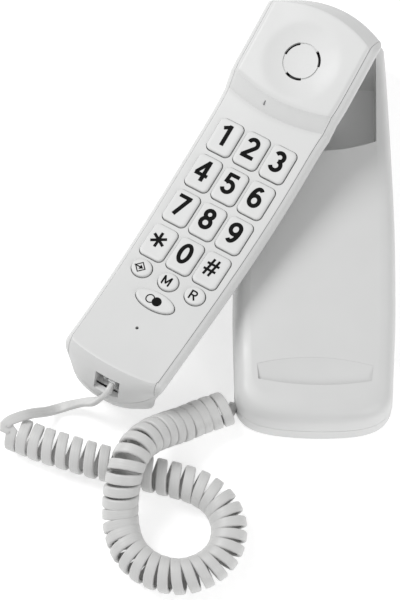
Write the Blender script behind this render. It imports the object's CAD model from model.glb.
# A slimline corded telephone: the handset lies across its base, and a curly cord is looped in front.
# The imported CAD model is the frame. The mouldings, keys, legends and cord are rebuilt here in fine
# detail, mostly on the same dimensions, and each piece rides on its CAD body.
import math

import bmesh
import bpy
import numpy as np
from mathutils import Matrix, Vector


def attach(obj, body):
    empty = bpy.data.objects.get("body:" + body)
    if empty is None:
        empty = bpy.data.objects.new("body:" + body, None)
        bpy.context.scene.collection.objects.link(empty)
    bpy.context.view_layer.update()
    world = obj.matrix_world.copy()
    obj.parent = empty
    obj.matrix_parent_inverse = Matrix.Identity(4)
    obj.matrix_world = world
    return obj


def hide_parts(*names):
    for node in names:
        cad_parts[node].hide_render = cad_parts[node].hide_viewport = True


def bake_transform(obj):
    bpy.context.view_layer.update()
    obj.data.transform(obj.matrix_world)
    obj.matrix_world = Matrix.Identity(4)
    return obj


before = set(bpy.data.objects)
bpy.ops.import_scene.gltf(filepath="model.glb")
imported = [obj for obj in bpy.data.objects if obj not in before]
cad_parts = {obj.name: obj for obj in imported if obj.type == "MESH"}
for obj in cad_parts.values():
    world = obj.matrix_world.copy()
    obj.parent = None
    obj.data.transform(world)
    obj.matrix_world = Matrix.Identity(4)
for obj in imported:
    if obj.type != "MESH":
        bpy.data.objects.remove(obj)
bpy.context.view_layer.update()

MM = 0.001

# ---- Driving dimensions in mm. Most are the CAD model's. The ear step, the slit, the chin's opening
# and the corners of the handset's end walls differ from it by up to a few mm. ----
WALL = 2.2
GAP = 0.3
HANDSET_PLACE = (-47.2, 1.3, 43.8)
HANDSET_TURN = (7.0, -5.25, -30.2)
FACE_RADIUS = 452.0
FACE_LOW_Y = -10.0
FACE_MOUTH = -102.3
FACE_EAR = 105.5
EAR_RISE = 4.2
EAR_STEP = 51.0
EAR_Y = 79.1
MIC_Y = -78.8
SLIT_PLACE = (-6.4, 52.9)
KEY_PITCH_X = 15.4
KEY_PITCH_Y = 21.2
KEYPAD_Y = -3.1
OVAL_KEYS_Y = -50.6
REDIAL_Y = -62.6
KEY_PROUD = 1.2
BASE_BOTTOM = -108.0
BASE_TOP = 108.0
BASE_LOWER = 38.6
BASE_WIDE = 40.6
BASE_NARROW = 35.4
BASE_HIGH = 27.5
REAR_HIGH = 12.0
POCKET_HALF = 30.5
POCKET_LOW = 38.0
POCKET_HIGH = 97.0
POCKET_FLOOR = 11.0
POCKET_END = 82.0
CORD_WIDE = 5.2
CORD_THICK = 2.6
COIL_RADIUS = 9.0
SOCKET_MOUTH = -101.0
SOCKET_Z = -3.0
SOCKET_X = 0.2
PLUG_X = 1.4
SEAM_DEPTH = -6.0
SEAM_OUT = 0.6
RIM_DEPTH = 8.5
CHIN_HALF = 24.4
CHIN_STRAIGHT = 5.0
CHIN_ROUND = 17.5
CHIN_TILT = 61.9
CHIN_ABOVE = 12.0
CHIN_SQUARE = 0.8
CHIN_INSIDE = 7.0
OPENING_WIDE = 13.7
OPENING_HIGH = 10.0
OPENING_X = 0.2
OPENING_Z = -1.9
THROAT_Y = -104.5
PLUG_WIDE = 7.65
PLUG_THICK = 4.0
PLUG_OFFSET = 0.8
SCREW_HEAD = 3.4


def turned(x, y, z):
    """The rotation by z, then x, then y degrees, as the CAD model's ZXY order has it."""
    about = [Matrix.Rotation(math.radians(a), 4, n) for a, n in ((z, "Z"), (x, "X"), (y, "Y"))]
    return about[0] @ about[1] @ about[2]


HANDSET = Matrix.Translation(HANDSET_PLACE) @ turned(*HANDSET_TURN)
BASE = Matrix.Identity(4)


# ---- Camera ----
CAMERA_PLACE = Vector((-55.1, -564.6, 1208.0))
CAMERA_TARGET = Vector((-57.05, -33.77, 0.0))
CAMERA_ROLL = 1.13
CAMERA_LENS = 156.92


def make_camera():
    data = bpy.data.cameras.new("camera")
    data.sensor_fit = "VERTICAL"
    data.sensor_height = 36.0
    data.lens = CAMERA_LENS
    data.clip_end = 20.0
    camera = bpy.data.objects.new("camera", data)
    bpy.context.scene.collection.objects.link(camera)
    back = (CAMERA_PLACE - CAMERA_TARGET).normalized()
    right = Vector((0, 0, 1)).cross(back).normalized()
    up = back.cross(right)
    roll = math.radians(CAMERA_ROLL)
    tilted_right = math.cos(roll) * right + math.sin(roll) * up
    tilted_up = math.cos(roll) * up - math.sin(roll) * right
    turn = Matrix((tilted_right, tilted_up, back)).transposed().to_4x4()
    camera.matrix_world = Matrix.Translation(CAMERA_PLACE * MM) @ turn
    bpy.context.scene.camera = camera


make_camera()


# ---- Small helpers ----
def mix(a, b, t):
    return a + (b - a) * t


def smooth(a, b, x):
    t = min(max((x - a) / (b - a), 0.0), 1.0)
    return t * t * (3 - 2 * t)


def make(name, points, faces, place=BASE, sharp=35.0):
    """A mesh object from points in mm in the frame place, with its faces outward and smooth."""
    mesh = bpy.data.meshes.new(name)
    mesh.from_pydata([(place @ Vector(p)) * MM for p in points], [], faces)
    work = bmesh.new()
    work.from_mesh(mesh)
    bmesh.ops.recalc_face_normals(work, faces=work.faces)
    work.to_mesh(mesh)
    work.free()
    piece = bpy.data.objects.new(name, mesh)
    bpy.context.scene.collection.objects.link(piece)
    soften(piece, sharp)
    return piece


def soften(piece, sharp=35.0):
    piece.data.shade_smooth()
    piece.data.set_sharp_from_angle(angle=math.radians(sharp))


def carve(piece, *cutters, operation="DIFFERENCE", solver="MANIFOLD"):
    """piece with each cutter taken away, or joined, or kept in common. The cutters go."""
    for cutter in cutters:
        modifier = piece.modifiers.new("carve", "BOOLEAN")
        modifier.operation = operation
        modifier.solver = solver
        modifier.object = cutter
        bpy.context.view_layer.update()
        graph = bpy.context.evaluated_depsgraph_get()
        result = bpy.data.meshes.new_from_object(piece.evaluated_get(graph))
        piece.modifiers.clear()
        piece.data = result
        bpy.data.objects.remove(cutter)
    soften(piece)
    return piece


def copy_of(piece):
    twin = piece.copy()
    twin.data = piece.data.copy()
    bpy.context.scene.collection.objects.link(twin)
    return twin


def join(name, pieces):
    """Several solids that don't touch as one mesh."""
    work = bmesh.new()
    for piece in pieces:
        work.from_mesh(piece.data)
        bpy.data.objects.remove(piece)
    mesh = bpy.data.meshes.new(name)
    work.to_mesh(mesh)
    work.free()
    piece = bpy.data.objects.new(name, mesh)
    bpy.context.scene.collection.objects.link(piece)
    soften(piece)
    return piece


def stack(loops, close=True):
    """Faces that join closed loops of equal count one above another, with caps on both ends."""
    count = len(loops[0])
    points = [p for loop in loops for p in loop]
    faces = []
    for level in range(len(loops) - 1):
        low = level * count
        for k in range(count):
            m = (k + 1) % count
            faces.append((low + k, low + m, low + count + m, low + count + k))
    if close:
        faces.append(tuple(range(count))[::-1])
        faces.append(tuple(range(len(points) - count, len(points))))
    return points, faces


def prism(name, outline, low, high, place=BASE):
    loops = [[(x, y, z) for x, y in outline] for z in (low, high)]
    return make(name, *stack(loops), place)


def box(name, size, centre, place=BASE):
    x, y, z = (s / 2 for s in size)
    outline = [(centre[0] + a * x, centre[1] + b * y) for a, b in ((-1, -1), (1, -1), (1, 1), (-1, 1))]
    return prism(name, outline, centre[2] - z, centre[2] + z, place)


def across(name, profile, half):
    """A solid with a profile of (y, z) points, straight across the middle."""
    loops = [[(x, y, z) for y, z in profile] for x in (-half, half)]
    return make(name, *stack(loops))


def rounded(wide, long, radius, per_corner=8):
    """The outline of a rounded rectangle about the origin."""
    points = []
    for corner, (sx, sy) in enumerate(((1, 1), (-1, 1), (-1, -1), (1, -1))):
        for i in range(per_corner + 1):
            angle = (corner + i / per_corner) * math.pi / 2
            x = sx * (wide / 2 - radius) + radius * math.cos(angle)
            y = sy * (long / 2 - radius) + radius * math.sin(angle)
            points.append((x, y))
    return points


def ellipse(wide, long, count=48):
    turns = [2 * math.pi * i / count for i in range(count)]
    return [(wide / 2 * math.cos(a), long / 2 * math.sin(a)) for a in turns]


def disc(radius, low, high, x, y, place=BASE, count=32):
    outline = [(x + a, y + b) for a, b in ellipse(2 * radius, 2 * radius, count)]
    return prism("disc", outline, low, high, place)


def crowded(u):
    """Grid columns crowd towards the edges, where the corners turn. u runs from -1 to 1."""
    return math.sin(u * math.pi / 2)


def through(points, steps):
    """A smooth line through points (Catmull-Rom), with this many steps between each two."""
    padded = [points[0] * 2 - points[1], *points, points[-1] * 2 - points[-2]]
    line = []
    for a, b, c, d in zip(padded, padded[1:], padded[2:], padded[3:]):
        for i in range(steps):
            t = i / steps
            line.append(
                0.5 * (2 * b + (c - a) * t + (2 * a - 5 * b + 4 * c - d) * t**2)
                + 0.5 * (3 * b - a - 3 * c + d) * t**3
            )
    line.append(points[-1])
    return line


def skin(name, top, bottom, rings, columns, rows, steps, place):
    """A closed skin: a top grid, a bottom grid, and smooth sides through the rings between them.

    top and bottom give the point at the shares u, from -1 to 1, and v, from 0 to 1. Each ring gives the
    point that the side passes through below the edge at (u, v), where normal is the way out in plan.
    """
    points, faces = [], []

    def grid(surface):
        first = len(points)
        for j in range(rows + 1):
            for i in range(columns + 1):
                points.append(surface(2 * i / columns - 1, j / rows))
        return first

    edge = [(i, 0) for i in range(columns)] + [(columns, j) for j in range(rows)]
    edge += [(i, rows) for i in range(columns, 0, -1)] + [(0, j) for j in range(rows, 0, -1)]
    first_top = grid(top)
    first_bottom = grid(bottom)
    for first in (first_top, first_bottom):
        for j in range(rows):
            for i in range(columns):
                a = first + j * (columns + 1) + i
                faces.append((a, a + 1, a + columns + 2, a + columns + 1))
    upper = [first_top + j * (columns + 1) + i for i, j in edge]
    lower = [first_bottom + j * (columns + 1) + i for i, j in edge]
    count = len(edge)
    columns_down = []
    for k, (i, j) in enumerate(edge):
        before, after = points[upper[k - 1]], points[upper[(k + 1) % count]]
        normal = Vector((after[1] - before[1], before[0] - after[0])).normalized()
        u, v = 2 * i / columns - 1, j / rows
        controls = [Vector(points[upper[k]])]
        controls += [Vector(ring(u, v, normal)) for ring in rings]
        controls.append(Vector(points[lower[k]]))
        columns_down.append(through(controls, steps)[1:-1])
    above = upper
    for level in range(len(columns_down[0])):
        here = list(range(len(points), len(points) + count))
        points.extend(tuple(line[level]) for line in columns_down)
        for k in range(count):
            m = (k + 1) % count
            faces.append((above[k], above[m], here[m], here[k]))
        above = here
    for k in range(count):
        m = (k + 1) % count
        faces.append((above[k], above[m], lower[m], lower[k]))
    return make(name, points, faces, place)


# ---- Materials ----
def nodes_of(name):
    material = bpy.data.materials.new(name)
    material.use_nodes = True
    tree = material.node_tree
    shader = tree.nodes["Principled BSDF"]
    return material, tree, shader


def noise(tree, scale, detail=2.0, roughness=0.5):
    coordinates = tree.nodes.get("coordinates")
    if coordinates is None:
        coordinates = tree.nodes.new("ShaderNodeTexCoord")
        coordinates.name = "coordinates"
    texture = tree.nodes.new("ShaderNodeTexNoise")
    texture.inputs["Scale"].default_value = scale
    texture.inputs["Detail"].default_value = detail
    texture.inputs["Roughness"].default_value = roughness
    tree.links.new(coordinates.outputs["Object"], texture.inputs["Vector"])
    return texture.outputs["Fac"]


def spread_between(tree, factor, low, high):
    span = tree.nodes.new("ShaderNodeMapRange")
    span.inputs["From Min"].default_value = 0.3
    span.inputs["From Max"].default_value = 0.7
    span.inputs["To Min"].default_value = low
    span.inputs["To Max"].default_value = high
    tree.links.new(factor, span.inputs["Value"])
    return span.outputs["Result"]


def tint_between(tree, factor, low, high):
    ramp = tree.nodes.new("ShaderNodeValToRGB")
    ramp.color_ramp.elements[0].position = 0.3
    ramp.color_ramp.elements[0].color = (*low, 1)
    ramp.color_ramp.elements[1].position = 0.7
    ramp.color_ramp.elements[1].color = (*high, 1)
    tree.links.new(factor, ramp.inputs["Fac"])
    return ramp.outputs["Color"]


def bump(tree, shader, factor, strength, distance):
    relief = tree.nodes.new("ShaderNodeBump")
    relief.inputs["Strength"].default_value = strength
    relief.inputs["Distance"].default_value = distance
    tree.links.new(factor, relief.inputs["Height"])
    tree.links.new(relief.outputs["Normal"], shader.inputs["Normal"])


def moulded(name, colour, rough=0.42, grain=1400.0, relief=0.12, shift=0.02, metallic=0.0, coat=0.0,
             specular=0.5):
    """Moulded plastic: faint cloudy colour, uneven gloss and a fine spark-eroded grain."""
    material, tree, shader = nodes_of(name)
    low = tuple(c * (1 - shift) for c in colour)
    high = tuple(min(c * (1 + shift), 1.0) for c in colour)
    cloud = noise(tree, 22.0, 3.0)
    tree.links.new(tint_between(tree, cloud, low, high), shader.inputs["Base Color"])
    gloss = noise(tree, 90.0, 4.0)
    tree.links.new(spread_between(tree, gloss, rough - 0.05, rough + 0.05), shader.inputs["Roughness"])
    bump(tree, shader, noise(tree, grain, 2.0), relief, 0.00004)
    shader.inputs["Metallic"].default_value = metallic
    shader.inputs["IOR"].default_value = 1.49
    shader.inputs["Specular IOR Level"].default_value = specular
    shader.inputs["Coat Weight"].default_value = coat
    shader.inputs["Coat Roughness"].default_value = 0.2
    return material


WHITE = (0.64, 0.643, 0.64)
KEY_WHITE = (0.67, 0.673, 0.67)
SHELL = moulded("shell_plastic", WHITE, 0.40, 1500.0, 0.10)
KEYS = moulded("key_plastic", KEY_WHITE, 0.48, 2400.0, 0.16)
CORD = moulded("cord_vinyl", (0.60, 0.60, 0.595), 0.42, 900.0, 0.10, shift=0.03)
DARK = moulded("dark_plastic", (0.012, 0.012, 0.013), 0.5, 1800.0, 0.2, shift=0.2)
INK = moulded("key_ink", (0.004, 0.004, 0.004), 0.7, 3000.0, 0.1, shift=0.3, specular=0.12)
SOCKET = moulded("socket_plastic", (0.42, 0.42, 0.42), 0.45, 1600.0, 0.15, shift=0.1)
PLUG = moulded("plug_plastic", (0.80, 0.81, 0.81), 0.18, 600.0, 0.05, shift=0.02, coat=0.3)
BOARD = moulded("solder_mask", (0.02, 0.12, 0.04), 0.3, 500.0, 0.2, shift=0.15)
STEEL = moulded("zinc_steel", (0.55, 0.56, 0.57), 0.32, 2500.0, 0.2, shift=0.08, metallic=1.0)
BRASS = moulded("brass", (0.60, 0.42, 0.16), 0.3, 2500.0, 0.2, shift=0.08, metallic=1.0)
RUBBER = moulded("pale_rubber", (0.60, 0.60, 0.56), 0.7, 900.0, 0.25, shift=0.04)
FOAM = moulded("dark_foam", (0.03, 0.03, 0.03), 0.95, 1200.0, 0.8, shift=0.3)
LENS = moulded("smoked_lens", (0.10, 0.10, 0.105), 0.12, 400.0, 0.03, shift=0.1, coat=0.5)


def finish_piece(piece, material, body, slot, *nodes):
    """Gives a piece its material, its body, its slot and the CAD nodes that it stands for."""
    piece.data.materials.clear()
    piece.data.materials.append(material)
    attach(piece, body)
    if nodes:
        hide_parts(*nodes)
    return piece


# ---- The cord: a flat strand from the handset's plug, 46 or so turns, and back into the base ----
LEAD_START = (PLUG_X + PLUG_OFFSET, SOCKET_MOUTH - 6.9, SOCKET_Z)
LEAD_BEND = (PLUG_X + 0.6, SOCKET_MOUTH - 11.6, SOCKET_Z - 0.3)
LEAD_ROUTE = (
    (-106.4, -97.0, 18.4),
    (-112.2, -94.3, 9.8),
    (-118.8, -93.8, 4.6),
    (-126.2, -95.4, 2.6),
    (-131.5, -98.6, 6.5),
    (-136.5, -101.8, 12.8),
    (-140.5, -104.6, 17.2),
    (-144.5, -106.6, 18.6),
    (-148.6, -108.8, 18.8),
    (-151.0, -111.6, 17.6),
)
COIL_ROUTE = (
    (-146.4, -111.2, 9.1),
    (-140.0, -113.8, 9.1),
    (-132.0, -117.0, 9.1),
    (-122.0, -120.0, 9.1),
    (-112.0, -123.0, 9.1),
    (-102.0, -125.7, 9.1),
    (-91.0, -128.1, 9.1),
    (-79.0, -131.0, 9.1),
    (-66.0, -134.0, 9.1),
    (-54.5, -138.0, 9.1),
    (-45.5, -145.0, 9.1),
    (-40.5, -156.5, 9.1),
    (-42.5, -169.0, 9.1),
    (-50.5, -178.0, 9.1),
    (-63.5, -182.5, 9.1),
    (-77.5, -179.5, 9.1),
    (-87.5, -171.0, 9.1),
    (-92.0, -160.0, 10.0),
    (-93.0, -151.0, 14.2),
    (-92.5, -143.2, 20.6),
    (-91.0, -136.0, 25.6),
    (-88.5, -129.0, 27.6),
    (-84.5, -122.0, 26.4),
    (-79.0, -116.0, 22.8),
    (-72.0, -110.8, 17.8),
    (-64.0, -106.0, 13.2),
    (-55.0, -100.6, 10.2),
    (-42.6, -95.4, 9.1),
)
BASE_ROUTE = ((-40.9, -98.2, 4.4), (-40.2, -95.0, 5.4), (-38.8, -92.4, 7.6))
# Share of the way along the coil, and the pitch there in mm.
PITCHES = (
    (0.0, 5.4), (0.03, 6.2), (0.08, 7.2), (0.23, 7.2), (0.3, 6.7), (0.4, 5.7), (0.47, 5.7),
    (0.55, 6.0), (0.63, 5.8), (0.74, 5.75), (0.86, 5.75), (0.96, 5.8), (1.0, 5.9),
)
STRAND_RADIUS = COIL_RADIUS - CORD_THICK / 2 - 0.1
POINTS_PER_TURN = 22
# The angle of the first turn in degrees, and the share of a turn that the last one is cut at.
COIL_START = 100.0
END_SHARE = 0.47
# A quarter of the strand's section: across its width, and out from its middle. The face has two
# shallow grooves.
SECTION = (
    (CORD_WIDE / 2, 0.0), (2.52, 0.62), (2.2, 1.08), (1.7, 1.27),
    (1.3, 1.17), (0.9, CORD_THICK / 2), (0.45, CORD_THICK / 2), (0.0, 1.18),
)


def evenly(points, spacing):
    """A line through points, resampled at even steps."""
    line = through([Vector(p) for p in points], 24)
    lengths = np.cumsum([0.0] + [(b - a).length for a, b in zip(line, line[1:])])
    count = max(2, round(lengths[-1] / spacing))
    marks = np.linspace(0, lengths[-1], count + 1)
    spots = np.array([tuple(p) for p in line])
    return [Vector([float(np.interp(m, lengths, spots[:, k])) for k in range(3)]) for m in marks]


def coil_line():
    """The strand's middle line round the coil, and the way out from the coil's axis at each point."""
    axis = evenly(COIL_ROUTE, 0.5)
    count = len(axis) - 1
    shares = np.linspace(0, 1, count + 1)
    pitch = np.interp(shares, *zip(*PITCHES))
    step = sum((b - a).length for a, b in zip(axis, axis[1:])) / count
    turns = np.concatenate([[0.0], np.cumsum(step / pitch[1:])])
    whole = math.floor(turns[-1] - END_SHARE) + END_SHARE
    turns *= whole / turns[-1]
    total = int(whole * POINTS_PER_TURN)
    line = []
    for i in range(total + 1):
        turn = i / POINTS_PER_TURN
        at = float(np.interp(turn, turns, np.arange(count + 1)))
        k = min(int(at), count - 1)
        middle = axis[k].lerp(axis[k + 1], at - k)
        along = (axis[min(k + 3, count)] - axis[max(k - 2, 0)]).normalized()
        side = Vector((0, 0, 1)).cross(along).normalized()
        rise = along.cross(side)
        angle = math.radians(COIL_START) + 2 * math.pi * turn
        out = math.cos(angle) * side + math.sin(angle) * rise
        line.append((middle + STRAND_RADIUS * out, out))
    return line


def strand_line():
    """The whole strand: (point, the way its flat face looks) from the handset's plug to the base."""
    coil = coil_line()
    sideways = (HANDSET.to_3x3() @ Vector((-1, 0, 0))).normalized()
    start = HANDSET @ Vector(LEAD_START)
    bend = HANDSET @ Vector(LEAD_BEND)
    lead_points = [start, bend, *LEAD_ROUTE, coil[0][0], coil[1][0]]
    lead = evenly(lead_points, 1.6)[:-1]
    line = []
    for i, point in enumerate(lead):
        t = i / (len(lead) - 1)
        face = sideways.lerp(Vector((0, -0.25, 1)), smooth(0.2, 0.62, t))
        line.append((point, face.lerp(coil[0][1], smooth(0.8, 1.0, t)).normalized()))
    line += coil[1:]
    last, out = coil[-1]
    tail = evenly([coil[-2][0], last, *BASE_ROUTE], 1.6)[2:]
    upright = Vector((0, math.copysign(1, out.y), 0))
    for i, point in enumerate(tail):
        t = (i + 1) / len(tail)
        line.append((point, out.lerp(upright, smooth(0.1, 0.7, t)).normalized()))
    return line


def make_cord():
    line = strand_line()
    outline = [(w, f) for w, f in SECTION] + [(-w, f) for w, f in reversed(SECTION[:-1])]
    outline += [(-w, -f) for w, f in SECTION[1:]] + [(w, -f) for w, f in reversed(SECTION[1:-1])]
    loops = []
    for i, (point, face) in enumerate(line):
        along = (line[min(i + 1, len(line) - 1)][0] - line[max(i - 1, 0)][0]).normalized()
        face = (face - face.dot(along) * along).normalized()
        wide = along.cross(face)
        loops.append([point + w * wide + f * face for w, f in outline])
    cord = make("curly_cord", *stack(loops), BASE, 60)
    cord.data.materials.append(CORD)
    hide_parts("cord_lead_handset", "cord_coil", "cord_lead_base")
    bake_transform(cord)


# From the lead's plug end to where the cord no longer follows the handset, in metres. It points so
# that the whole coil lies past its end.
make_cord()


# ---- The handset's shape, in its own frame: x across, y towards the ear, z out of the face ----
def hollow(y):
    return (y - FACE_LOW_Y) ** 2 / (2 * FACE_RADIUS)


PANEL_HALF = 24.2
PANEL_WIDENS = 1.9
EAR_WIDENS = 1.6


def panel_half(y):
    """Half of the face's width: it widens a little towards the ear, and again at the ear step."""
    return PANEL_HALF + PANEL_WIDENS * smooth(-100, 20, y) + EAR_WIDENS * smooth(40, 70, y)


# A bead along the top of the ear step and a groove along its foot: how deep, and how far they reach.
LIP = 0.3
LIP_REACH = 1.2
EDGE_CHAMFER = 0.5
DISH_DEPTH = 1.3
DISH_RADIUS = 19.5


def step_foot(x):
    """The bowed line across the face where the ear step starts to rise."""
    return EAR_STEP - 2.2 + 3.4 * (x / 25) ** 2


def step_top(x):
    """The bowed line across the face where the ear step ends."""
    return EAR_STEP + 5.2 + 4.0 * (x / 26) ** 2


def ear_shape(x, y):
    """How far the ear section stands above the face at (x, y)."""
    foot, top = step_foot(x), step_top(x)
    climb = min(max((y - foot) / (top - foot), 0.0), 1.0)
    rise = EAR_RISE * climb
    edge = panel_half(y) - abs(x)
    chamfer = EDGE_CHAMFER * climb * (1 - min(max(edge, 0.0), 1.0))
    radius = math.hypot(x, (y - EAR_Y))
    dish = DISH_DEPTH * max(0.0, 1 - (radius / DISH_RADIUS) ** 2)
    lip = max(0.0, 1 - abs(y - top) / LIP_REACH) - max(0.0, 1 - abs(y - foot) / LIP_REACH)
    return rise - chamfer - dish + LIP * lip


def face_height(x, y):
    return hollow(y) + ear_shape(x, y)


def mouth_edge(u):
    """The y of the face's edge at the mouth end, at the share u of its width."""
    return FACE_MOUTH + 2.3 * u * u + 2.2 * (1 - math.sqrt(1 - abs(u) ** 16))


def ear_edge(u):
    """The y of the face's edge at the ear end, at the share u of its width."""
    return FACE_EAR - 6.5 * u * u - 1.2 * (1 - math.sqrt(1 - abs(u) ** 20))


# The shares of the face's rows at the foot and at the top of the ear step.
STEP_ROWS = (0.72, 0.76)


def step_line(edge, u, inset):
    """The y at which the line edge(x) crosses the share u of the face's width."""
    y = EAR_STEP
    for _ in range(5):
        y = edge(u * (panel_half(y) - inset))
    return y


def face_point(u, v, inset, drop):
    """The rows crowd so that two of them follow the foot and the top of the ear step."""
    low, high = mouth_edge(u) + inset, ear_edge(u) - inset
    foot, top = step_line(step_foot, u, inset), step_line(step_top, u, inset)
    y = float(np.interp(v, (0, *STEP_ROWS, 1), (low, foot, top, high)))
    x = u * (panel_half(y) - inset)
    return x, y, face_height(x, y) - drop


def back_height(y):
    """The z of the back: shallow at the grip, a little deeper at the ear end and much at the mouth end."""
    ends = mix(-30.5, -18, smooth(-60, 60, y))
    return mix(-17.5, ends, smooth(10, 75, abs(y)))


# side, mouth and ear: how far out. below: mm under the face. down: share of the way from the rim to
# the back. pull: how much the chin's corners are pulled in.
HANDSET_RINGS = (
    dict(side=0.5, mouth=0.25, ear=0.35, below=0.1, pull=0.0),
    dict(side=1.2, mouth=0.8, ear=1.1, below=0.75, pull=0.1),
    dict(side=2.4, mouth=1.5, ear=2.1, below=1.6, pull=0.2),
    dict(side=3.5, mouth=2.8, ear=4.1, below=3.4, pull=0.3),
    dict(side=3.8, mouth=4.0, ear=5.8, below=5.2, pull=0.35),
    dict(side=2.7, mouth=6.0, ear=8.6, below=RIM_DEPTH, pull=0.45),
    dict(side=-1.2, mouth=11.2, ear=9.8, down=0.35, pull=0.82),
    dict(side=-4.6, mouth=10.6, ear=8.4, down=0.7, pull=0.86),
    dict(side=-7.4, mouth=6.0, ear=3.0, down=0.92, pull=0.86),
)
BACK_INSET = dict(side=11.0, mouth=5.0, ear=8.0)


def chin_bow(u, pull):
    """The chin bulges most in the middle. Its corners are pulled in, the right one the most."""
    return 1 - pull * (1.15 * u * u if u > 0 else 0.42 * abs(u) ** 4.5)


def ear_bow(u):
    """The ear end's wall slopes out less towards its left corner."""
    return 1 - 0.65 * ((1 - u) / 2) ** 3


def handset_skin(name, inset, columns, rows, steps):
    def top(u, v):
        return face_point(crowded(u), v, inset, inset)

    def bottom(u, v):
        wide = crowded(u)
        y = mix(mouth_edge(wide) + BACK_INSET["mouth"], ear_edge(wide) - BACK_INSET["ear"], v)
        bulge = 1.2 * wide * wide
        return wide * (panel_half(y) - BACK_INSET["side"]), y, back_height(y) + inset + bulge

    def ring(spec):
        def at(u, v, normal):
            x, y, face = face_point(crowded(u), v, inset, 0)
            low = back_height(y)
            z = mix(face - RIM_DEPTH, low, spec["down"]) if "down" in spec else face - spec["below"]
            if normal[1] < 0:
                end = spec["mouth"] * chin_bow(crowded(u), spec["pull"])
            else:
                end = spec["ear"] * ear_bow(crowded(u))
            share = (z - low) / (face - low)
            wide, long = (min(max(1.35 * n, -1.0), 1.0) for n in normal)
            if spec["side"] < 0:
                # Under the rim the end walls turn in at their corners like the side walls.
                turn_in = (1.0 if u > 0 else 0.4) * abs(crowded(u)) ** 6
                wide = math.copysign(max(abs(wide), turn_in), u)
            return x + spec["side"] * wide, y + end * long, mix(low + inset, face - inset, share)

        return at

    rings = [ring(spec) for spec in HANDSET_RINGS]
    return skin(name, top, bottom, rings, columns, rows, steps, HANDSET)


def on_face(x, y):
    """The frame of a piece that sits on the face at (x, y)."""
    slope = math.atan((y - FACE_LOW_Y) / FACE_RADIUS)
    here = Matrix.Translation((x, y, face_height(x, y)))
    return HANDSET @ here @ Matrix.Rotation(slope, 4, "X")


def chin_region(grow):
    """The front cover's chin: a rounded tongue in the plane of the wall under the mouth end's edge."""
    half, round_part, above = CHIN_HALF + grow, CHIN_ROUND + grow, CHIN_ABOVE + grow
    outline = [(half, above)]
    for angle in np.linspace(0, math.pi, 65):
        cosine = math.cos(angle)
        x = half * math.copysign(abs(cosine) ** CHIN_SQUARE, cosine)
        outline.append((x, -CHIN_STRAIGHT - round_part * abs(math.sin(angle)) ** CHIN_SQUARE))
    outline.append((-half, above))
    here = Matrix.Translation((0, FACE_MOUTH, hollow(FACE_MOUTH)))
    place = HANDSET @ here @ Matrix.Rotation(math.radians(CHIN_TILT), 4, "X")
    return prism("chin", outline[::-1], -CHIN_INSIDE - grow, 25, place)


def front_region(name, grow):
    """The stretch that the front cover fills: the face, the ear end's wall and the chin."""
    low = mouth_edge(0.97) + 1 - grow
    ys = np.linspace(low, 130, 80)
    outline = [(panel_half(y) + SEAM_OUT + grow, y) for y in ys]
    outline += [(-x, y) for x, y in reversed(outline)]
    panel = prism(name, outline, SEAM_DEPTH - grow, 45, HANDSET)
    return carve(panel, chin_region(grow), operation="UNION")


def key_list():
    """(node, x, y, outline maker) of every key. The maker takes how much larger the outline is."""
    names = (
        ("key_1", "key_2", "key_3"),
        ("key_4", "key_5", "key_6"),
        ("key_7", "key_8", "key_9"),
        ("key_star", "key_0", "key_hash"),
    )
    keys = []
    for j, row in enumerate(names):
        for i, name in enumerate(row):
            y = KEYPAD_Y + (1.5 - j) * KEY_PITCH_Y
            keys.append((name, (i - 1) * KEY_PITCH_X, y, large_outline))
    for i, name in enumerate(("key_program", "key_memory", "key_flash")):
        keys.append((name, (i - 1) * KEY_PITCH_X, OVAL_KEYS_Y, small_outline))
    keys.append(("key_redial", 0.0, REDIAL_Y, redial_outline))
    return keys


KEY_SIZE = (13.4, 18.2)
KEY_CORNER = 2.8
OVAL_SIZE = (10.6, 9.4)
REDIAL_SIZE = (21.5, 9.6)


def large_outline(extra):
    wide, long = KEY_SIZE
    return rounded(wide + extra, long + extra, max(KEY_CORNER + extra / 2, 0.3))


def small_outline(extra):
    wide, long = OVAL_SIZE
    return ellipse(wide + extra, long + extra)


def redial_outline(extra):
    wide, long = REDIAL_SIZE
    return ellipse(wide + extra, long + extra)


ALL_KEYS = key_list()
KEY_GAP = 0.42
CAP_SHIFT = 0.18


# The sound slots round the ear piece: inner and outer radius, and where each starts and ends.
SLOT_RADII = (8.5, 9.9)
GROOVE_RADII = (8.8, 9.6)
GROOVE_DEPTH = 0.22
EAR_SLOTS = ((8, 60), (122, 181), (243, 298))


def ear_slot(start, end):
    """A cutter for one of the sound slots round the ear piece."""
    angles = [math.radians(mix(start, end, i / 10)) for i in range(11)]
    inner, outer = SLOT_RADII
    outline = [(outer * math.cos(a), outer * math.sin(a)) for a in angles]
    outline += [(inner * math.cos(a), inner * math.sin(a)) for a in reversed(angles)]
    return prism("slot", outline, -9, 3, on_face(0, EAR_Y))


def ring_cutter(name, inner, outer, depth, place, count=72):
    loops = []
    for radius, z in ((inner, -depth), (outer, -depth), (outer, 4), (inner, 4)):
        turns = [2 * math.pi * i / count for i in range(count)]
        loops.append([(radius * math.cos(a), radius * math.sin(a), z) for a in turns])
    loops.append(loops[0])
    points, faces = stack(loops[:4], close=False)
    last = 3 * count
    for k in range(count):
        m = (k + 1) % count
        faces.append((last + k, last + m, m, k))
    return make(name, points, faces, place)


SEAM = 0.2
SLIT_SIZE = (0.8, 2.3)
MIC_HOLE = 1.7
HANDSET_SCREWS = (-66, 46)


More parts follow.
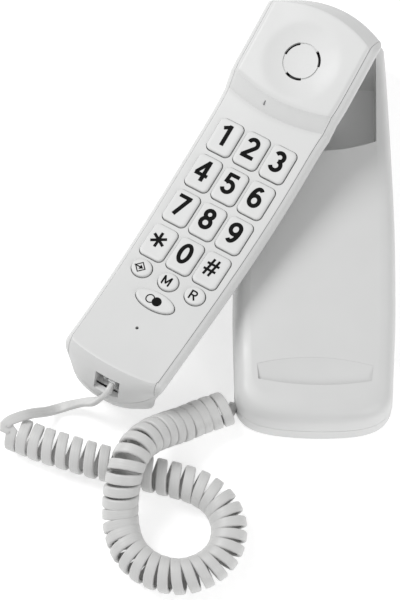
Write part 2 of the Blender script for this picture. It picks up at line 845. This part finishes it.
def chin_throat():
    """The walls between the opening in the chin and the socket behind it."""
    middle = (OPENING_X, THROAT_Y, OPENING_Z)
    throat = box("throat", (OPENING_WIDE + 2.4, 8, OPENING_HIGH + 2.4), middle, HANDSET)
    carve(throat, handset_skin("inside", 1.0, 14, 40, 2), operation="INTERSECT")
    return carve(throat, box("way", (OPENING_WIDE, 12, OPENING_HIGH), middle, HANDSET))


def make_covers():
    """The front and back covers are one hollow shell, cut in two along the seam."""
    shell = handset_skin("handset_front", 0.0, 36, 150, 3)
    inner = handset_skin("inner", WALL, 14, 40, 2)
    carve(shell, inner)
    back = copy_of(shell)
    back.name = "handset_back"
    front = carve(shell, front_region("region", 0.0), operation="INTERSECT")
    carve(back, front_region("region", SEAM))
    openings = []
    for _, x, y, outline in ALL_KEYS:
        openings.append(prism("opening", outline(2 * KEY_GAP), -8, 4, on_face(x, y)))
    carve(front, join("openings", openings))
    carve(front, ring_cutter("groove", *GROOVE_RADII, GROOVE_DEPTH, on_face(0, EAR_Y)))
    for slot in EAR_SLOTS:
        carve(front, ear_slot(*slot))
    carve(front, prism("mic", ellipse(MIC_HOLE, MIC_HOLE, 20), -8, 4, on_face(0, MIC_Y)))
    carve(front, prism("slit", rounded(*SLIT_SIZE, 0.35, 4), -8, 6, on_face(*SLIT_PLACE)))
    carve(front, chin_throat(), operation="UNION")
    carve(front, box("opening", (OPENING_WIDE, 16, OPENING_HIGH), (OPENING_X, -110, OPENING_Z), HANDSET))
    for y in HANDSET_SCREWS:
        carve(back, disc(SCREW_HEAD, -60, back_height(y) + 3, 0, y, HANDSET, 24))
    # The edges of the ear step stay crisp.
    soften(front, 26)
    finish_piece(front, SHELL, "handset", "shell_white", "handset_front_cover")
    finish_piece(back, SHELL, "handset", "shell_white", "handset_back_cover")
    lens_outline = rounded(SLIT_SIZE[0] - 0.12, SLIT_SIZE[1] - 0.12, 0.3, 4)
    lens = prism("indicator", lens_outline, -1.6, 0.1, on_face(*SLIT_PLACE))
    finish_piece(lens, LENS, "handset", "dark_plastic", "indicator_lens")


make_covers()


def make_handset_socket():
    """Open towards the cord, with a shallow room at its mouth and a close fit round the plug."""
    body = box("socket_body", (11.8, 15, 10.4), (SOCKET_X, SOCKET_MOUTH + 7.5, SOCKET_Z), HANDSET)
    mouth = box("mouth", (9, 5, 8.3), (SOCKET_X, SOCKET_MOUTH, SOCKET_Z), HANDSET)
    plug_size = (PLUG_THICK + 0.6, 26, PLUG_WIDE + 0.55)
    plug_room = box("plug_room", plug_size, (PLUG_X + PLUG_OFFSET, SOCKET_MOUTH, SOCKET_Z), HANDSET)
    latch_room = box("latch_room", (4.6, 26, 4.0), (PLUG_X - 2.3, SOCKET_MOUTH, SOCKET_Z), HANDSET)
    carve(body, mouth, plug_room, latch_room)
    finish_piece(body, SOCKET, "handset", "dark_plastic", "handset_socket")


make_handset_socket()


# ---- Keys ----
KEY_PROFILE = ((0.0, -3.0), (0.0, KEY_PROUD - 0.75), (0.12, KEY_PROUD - 0.38), (0.4, KEY_PROUD - 0.12),
               (0.85, KEY_PROUD), (2.2, KEY_PROUD - 0.05), (4.0, KEY_PROUD - 0.1))


def make_keys():
    for name, x, y, outline in ALL_KEYS:
        loops = []
        for inset, z in KEY_PROFILE:
            loops.append([(a - CAP_SHIFT, b + CAP_SHIFT, z) for a, b in outline(-2 * inset)])
        cap = make(name + "_cap", *stack(loops), on_face(x, y), 60)
        finish_piece(cap, KEYS, name, "key_white", name)


make_keys()


# ---- Legends on the keys: plain strokes in mm about the key's middle, thin solids of ink ----
def bow(x, y, wide, high, start, end, count=20):
    """Points along part of an ellipse, between two angles in degrees."""
    angles = [math.radians(mix(start, end, i / count)) for i in range(count + 1)]
    return [(x + wide * math.cos(a), y + high * math.sin(a)) for a in angles]


def bar(width, *points):
    """The outline of a stroke of that width through points, cut square at its ends."""
    left, right = [], []
    for i, (x, y) in enumerate(points):
        before, after = points[max(i - 1, 0)], points[min(i + 1, len(points) - 1)]
        along = Vector((after[0] - before[0], after[1] - before[1])).normalized() * width / 2
        left.append((x - along.y, y + along.x))
        right.append((x + along.y, y - along.x))
    return [left + right[::-1]]


def ring(width, x, y, wide, high):
    """The outer and inner outlines of a closed ring."""
    outer = bow(x, y, wide + width / 2, high + width / 2, 0, 360, 48)[:-1]
    return [outer, bow(x, y, wide - width / 2, high - width / 2, 0, 360, 48)[:-1]]


def diamond(half):
    return [(0, half), (-half, 0), (0, -half), (half, 0)]


BOLD = 1.95
LEGENDS = {
    "key_1": (bar(BOLD, (0.9, -5.2), (0.9, 5.2)), bar(1.75, (-2.1, 2.75), (1.2, 4.55))),
    "key_2": (
        bar(BOLD, *bow(0, 2.0, 2.25, 2.25, 172, -28), (-2.35, -4.1)),
        bar(1.8, (-3.2, -4.3), (3.2, -4.3)),
    ),
    "key_3": (
        bar(BOLD, *bow(-0.1, 2.2, 2.1, 2.05, 158, -88)),
        bar(BOLD, *bow(-0.1, -1.95, 2.35, 2.3, 88, -158)),
    ),
    "key_4": (
        bar(BOLD, (1.25, -5.2), (1.25, 5.2)),
        bar(1.7, (1.1, 4.5), (-2.7, -1.9)),
        bar(1.7, (-3.2, -2.1), (3.3, -2.1)),
    ),
    "key_5": (
        bar(1.8, (-2.3, 4.3), (2.8, 4.3)),
        bar(1.75, (-1.7, 4.9), (-2.15, 0.0)),
        bar(BOLD, *bow(-0.1, -1.6, 2.4, 2.65, 138, -158)),
    ),
    "key_6": (ring(BOLD, 0, -1.75, 2.3, 2.5), bar(BOLD, *bow(0.1, -0.9, 2.4, 5.1, 182, 58))),
    "key_7": (bar(1.8, (-3.1, 4.3), (3.2, 4.3)), bar(BOLD, (2.3, 4.3), (-1.2, -5.2))),
    "key_8": (ring(BOLD, 0, 2.3, 1.95, 1.95), ring(BOLD, 0, -1.95, 2.3, 2.3)),
    "key_9": (ring(BOLD, 0, 1.75, 2.3, 2.5), bar(BOLD, *bow(-0.1, 0.9, 2.4, 5.1, 2, -122))),
    "key_0": (ring(BOLD, 0, 0, 2.3, 4.25),),
    "key_star": (
        bar(1.35, (0, -3.8), (0, 3.8)),
        bar(1.35, (-3.3, -1.9), (3.3, 1.9)),
        bar(1.35, (-3.3, 1.9), (3.3, -1.9)),
    ),
    "key_hash": (
        bar(1.15, (-1.9, -4.3), (-0.6, 4.3)),
        bar(1.15, (0.6, -4.3), (1.9, 4.3)),
        bar(1.15, (-3.2, -1.5), (2.9, -1.5)),
        bar(1.15, (-2.9, 1.5), (3.2, 1.5)),
    ),
    "key_program": (
        [diamond(2.7), diamond(2.05)],
        bar(0.55, (-3.4, 0), (0.4, 0)),
        [[(-0.2, 1.15), (-0.2, -1.15), (1.5, 0)]],
    ),
    "key_memory": (
        bar(0.8, (-1.6, -2.2), (-1.6, 2.2)),
        bar(0.8, (1.6, -2.2), (1.6, 2.2)),
        bar(0.75, (-1.65, 2.2), (0.1, -1.3)),
        bar(0.75, (1.65, 2.2), (-0.1, -1.3)),
    ),
    "key_flash": (
        bar(0.8, (-1.2, -2.2), (-1.2, 2.2)),
        bar(0.7, (-1.4, 1.85), *bow(0.35, 0.9, 0.95, 0.95, 90, -90), (-1.4, -0.05)),
        bar(0.75, (0.0, 0.1), (1.5, -2.2)),
    ),
    "key_redial": (ring(0.5, -1.65, 0, 1.85, 1.85), [bow(1.6, 0, 2.15, 2.15, 0, 360, 40)[:-1]]),
}
INK_TOP = KEY_PROUD - 0.02
INK_LOW = KEY_PROUD - 0.4
# The legends of the large keys and those of the oval keys: their scale, and where their middle is.
LEGEND_SCALE = 1.1
LEGEND_SHIFT = (-0.75, 1.2)
SMALL_SCALE = 1.15
SMALL_SHIFT = (-0.8, 0.0)


def make_legends():
    for name, x, y, _ in ALL_KEYS:
        small = y <= OVAL_KEYS_Y
        scale = SMALL_SCALE if small else LEGEND_SCALE
        shift = SMALL_SHIFT if small else LEGEND_SHIFT
        place = on_face(x, y) @ Matrix.Translation((*shift, 0))
        solids = []
        for outer, *holes in LEGENDS[name]:
            outer = [(a * scale, b * scale) for a, b in outer]
            solid = prism(name + "_legend", outer, INK_LOW, INK_TOP, place)
            for hole in holes:
                hole = [(a * scale, b * scale) for a, b in hole]
                carve(solid, prism("hole", hole, INK_LOW - 1, INK_TOP + 1, place))
            solids.append(solid)
        legend = carve(solids[0], *solids[1:], operation="UNION")
        finish_piece(legend, INK, name, "dark_plastic")


make_legends()


# ---- The base ----
def base_half(y):
    """Half of the base's width: widest below the middle, and narrower towards both ends."""
    lower = mix(BASE_LOWER, BASE_WIDE, smooth(-105, -40, y))
    return lower - (BASE_WIDE - BASE_NARROW) * max(0.0, (y + 10) / (BASE_TOP + 10)) ** 1.4


def base_low(u):
    """The y of the base's lower end wall, with its rounded corners."""
    return BASE_BOTTOM + 4.2 * u * u + 12 * (1 - math.sqrt(max(0.0, 1 - u**6)))


def base_high(u):
    """The y of the base's upper end wall, with its rounded corners."""
    return BASE_TOP - 3 * u * u - 5 * (1 - math.sqrt(max(0.0, 1 - u**8)))


def front_height(u, v):
    return BASE_HIGH + 1.5 * smooth(0.55, 1, v) - 0.9 * u * u


def base_plan(u, v, inset):
    wide = crowded(u)
    y = mix(base_low(wide) + inset, base_high(wide) - inset, v)
    return wide * (base_half(y) - inset), y


# How far the front face is set in, and the rings of the wall under it: how far in, and how high up as
# a share.
SHOULDER = 8.4
BASE_RINGS = (
    (4.9, 0.965), (2.6, 0.9), (1.0, 0.79), (0.35, 0.64), (0.0, 0.44), (0.0, 0.12), (0.6, 0.03),
)


def base_skin(name, inset, columns, rows, steps):
    def top(u, v):
        return (*base_plan(u, v, SHOULDER), front_height(crowded(u), v) - inset)

    def bottom(u, v):
        return (*base_plan(u, v, 1.4 + inset), inset)

    def ring(further, share):
        def at(u, v, _):
            high = front_height(crowded(u), v)
            return (*base_plan(u, v, further + inset), mix(inset, high - inset, share))

        return at

    rings = [ring(*spec) for spec in BASE_RINGS]
    return skin(name, top, bottom, rings, columns, rows, steps, BASE)


def arc(x0, y0, x1, y1, rise, count=24):
    """A parabola between two points that rises by that much at its middle."""
    line = []
    for i in range(count + 1):
        t = i / count
        line.append((mix(x0, x1, t), mix(y0, y1, t) + rise * 4 * t * (1 - t)))
    return line


def pocket_cutter(grow):
    """The room for the ear end of the handset, with a sloping far wall."""
    half = POCKET_HALF + grow
    low, high = POCKET_LOW + 6.5 - grow, POCKET_HIGH - 3 + grow
    outline = arc(-half, low, half, low, -6.5) + arc(half, high, -half, high, 3.0)
    plan = prism("pocket", outline, POCKET_FLOOR - grow, 60)
    profile = [(0, 0), (POCKET_END + grow, 0), (POCKET_END + grow, POCKET_FLOOR),
               (POCKET_HIGH + grow, BASE_HIGH), (POCKET_HIGH + 10, 60), (0, 60)]
    return carve(plan, across("slope", profile, 60), operation="INTERSECT")


def crescent_cutter(grow):
    """The shallow crescent near the lower end, deepest along its lower edge."""
    half = 28.5 + grow
    top, low = -78.5 + grow, -86.5 - grow
    outline = arc(-half + 0.8, low, half - 0.8, low, -3.0) + arc(half, top, -half, top, 3.5)
    plan = prism("crescent", outline, 10, 50)
    floor = ((-60, 29.4), (-72, 28.1), (-78, 26.7), (-84, 25.5), (-95, 24.2))
    profile = [(y, z - grow) for y, z in floor] + [(-95, 45), (-60, 45)]
    return carve(plan, across("floor", profile, 50), operation="INTERSECT")


BASE_SCREWS = ((-31, -74), (31, -82), (-31, 27), (31, 27))
KEYHOLES = (-49.2, 49.2)
VENTS = 5
VENT_START = -38
VENT_PITCH = 4
HOOK_SLOT = (0, 58.5, POCKET_FLOOR)
CORD_INLET = (-40, -92.4, 8.0)
LINE_INLET = (44, -62, 7.2)
RINGER_SLOT = (-40, 58, 7)


def make_base():
    """The housing and the rear cover are one hollow shell, cut in two at the joint line."""
    housing = base_skin("base_front", 0.0, 48, 110, 3)
    cavity = base_skin("cavity", WALL, 16, 40, 2)
    carve(cavity, pocket_cutter(WALL), crescent_cutter(WALL))
    carve(housing, cavity)
    rear = copy_of(housing)
    rear.name = "base_rear"
    upper = box("upper", (200, 300, 60), (0, 0, REAR_HIGH + GAP / 2 + 30))
    carve(housing, upper, operation="INTERSECT")
    solid = carve(pocket_cutter(WALL), base_skin("outer", 0.0, 16, 40, 2), operation="INTERSECT")
    carve(housing, solid, operation="UNION")
    carve(housing, pocket_cutter(0.0), crescent_cutter(0.0))
    carve(housing, box("slot", (9, 12, 10), HOOK_SLOT))
    upper = box("upper", (200, 300, 80), (0, 0, REAR_HIGH - GAP / 2 + 40))
    carve(rear, upper, pocket_cutter(WALL + GAP))
    for x, y in BASE_SCREWS:
        carve(rear, disc(SCREW_HEAD, -2, 3, x, y))
    for y in KEYHOLES:
        carve(rear, disc(4.6, -2, 6, 0, y), box("slot", (4.6, 9, 20), (0, y + 4.5, 0)))
    for i in range(VENTS):
        carve(rear, box("vent", (16, 1.6, 12), (14, VENT_START + VENT_PITCH * i, 0)))
    carve(rear, box("cord", (24, 9, 8.4), CORD_INLET))
    carve(rear, box("line", (24, 10.6, 7), LINE_INLET))
    carve(rear, box("switch", (24, 9.5, 3), RINGER_SLOT))
    finish_piece(housing, SHELL, "base", "shell_white", "base_housing")
    finish_piece(rear, SHELL, "base", "shell_white", "base_rear_cover")


make_base()


# ---- The CAD nodes that stay get their own materials ----
NODE_MATERIALS = {
    "base_circuit_board": BOARD, "handset_circuit_board": BOARD, "base_handset_socket": SOCKET,
    "line_socket": DARK, "earpiece_speaker": DARK, "hook_switch_body": DARK,
    "ringer_switch_body": DARK, "ringer_switch_knob": DARK, "hook_lever": SHELL, "handset_plug": PLUG,
    "base_plug": PLUG, "keypad_membrane": RUBBER, "speaker_gasket": FOAM,
    "ringer_disc": BRASS, "hook_lever_pin": STEEL, "handset_weight": STEEL, "microphone": STEEL,
    "base_screw_1": STEEL, "base_screw_2": STEEL, "base_screw_3": STEEL, "base_screw_4": STEEL,
    "handset_screw_1": STEEL, "handset_screw_2": STEEL,
}
for node, material in NODE_MATERIALS.items():
    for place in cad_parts[node].material_slots:
        place.material = material


# ---- Floor, light and world ----
FLOOR_SIZE = 4.0
FLOOR_Z = -0.0002
LOOK_AT = (-0.05, -0.03, 0)


def make_stage():
    bpy.ops.mesh.primitive_grid_add(
        size=FLOOR_SIZE, x_subdivisions=2, y_subdivisions=2, location=(0, 0, FLOOR_Z)
    )
    floor = bpy.context.object
    floor.name = "floor"
    material, tree, shader = nodes_of("floor_paper")
    shader.inputs["Base Color"].default_value = (0.8, 0.8, 0.8, 1)
    shader.inputs["Roughness"].default_value = 0.9
    shader.inputs["Emission Color"].default_value = (1, 1, 1, 1)
    shader.inputs["Emission Strength"].default_value = 0.46
    floor.data.materials.append(material)


def area_light(name, place, size, power):
    data = bpy.data.lights.new(name, "AREA")
    data.shape = "DISK"
    data.size = size
    data.energy = power
    light = bpy.data.objects.new(name, data)
    bpy.context.scene.collection.objects.link(light)
    back = (Vector(place) - Vector(LOOK_AT)).normalized()
    turn = back.to_track_quat("Z", "Y").to_matrix().to_4x4()
    light.matrix_world = Matrix.Translation(place) @ turn


def make_light():
    scene = bpy.context.scene
    world = bpy.data.worlds.new("studio")
    world.use_nodes = True
    background = world.node_tree.nodes["Background"]
    background.inputs["Color"].default_value = (1, 1, 1, 1)
    background.inputs["Strength"].default_value = 0.52
    scene.world = world
    area_light("key", (-0.7, 0.28, 0.9), 0.6, 7.6)
    area_light("fill", (0.75, -0.75, 0.6), 0.8, 3.9)
    scene.view_settings.view_transform = "Standard"


make_stage()
make_light()
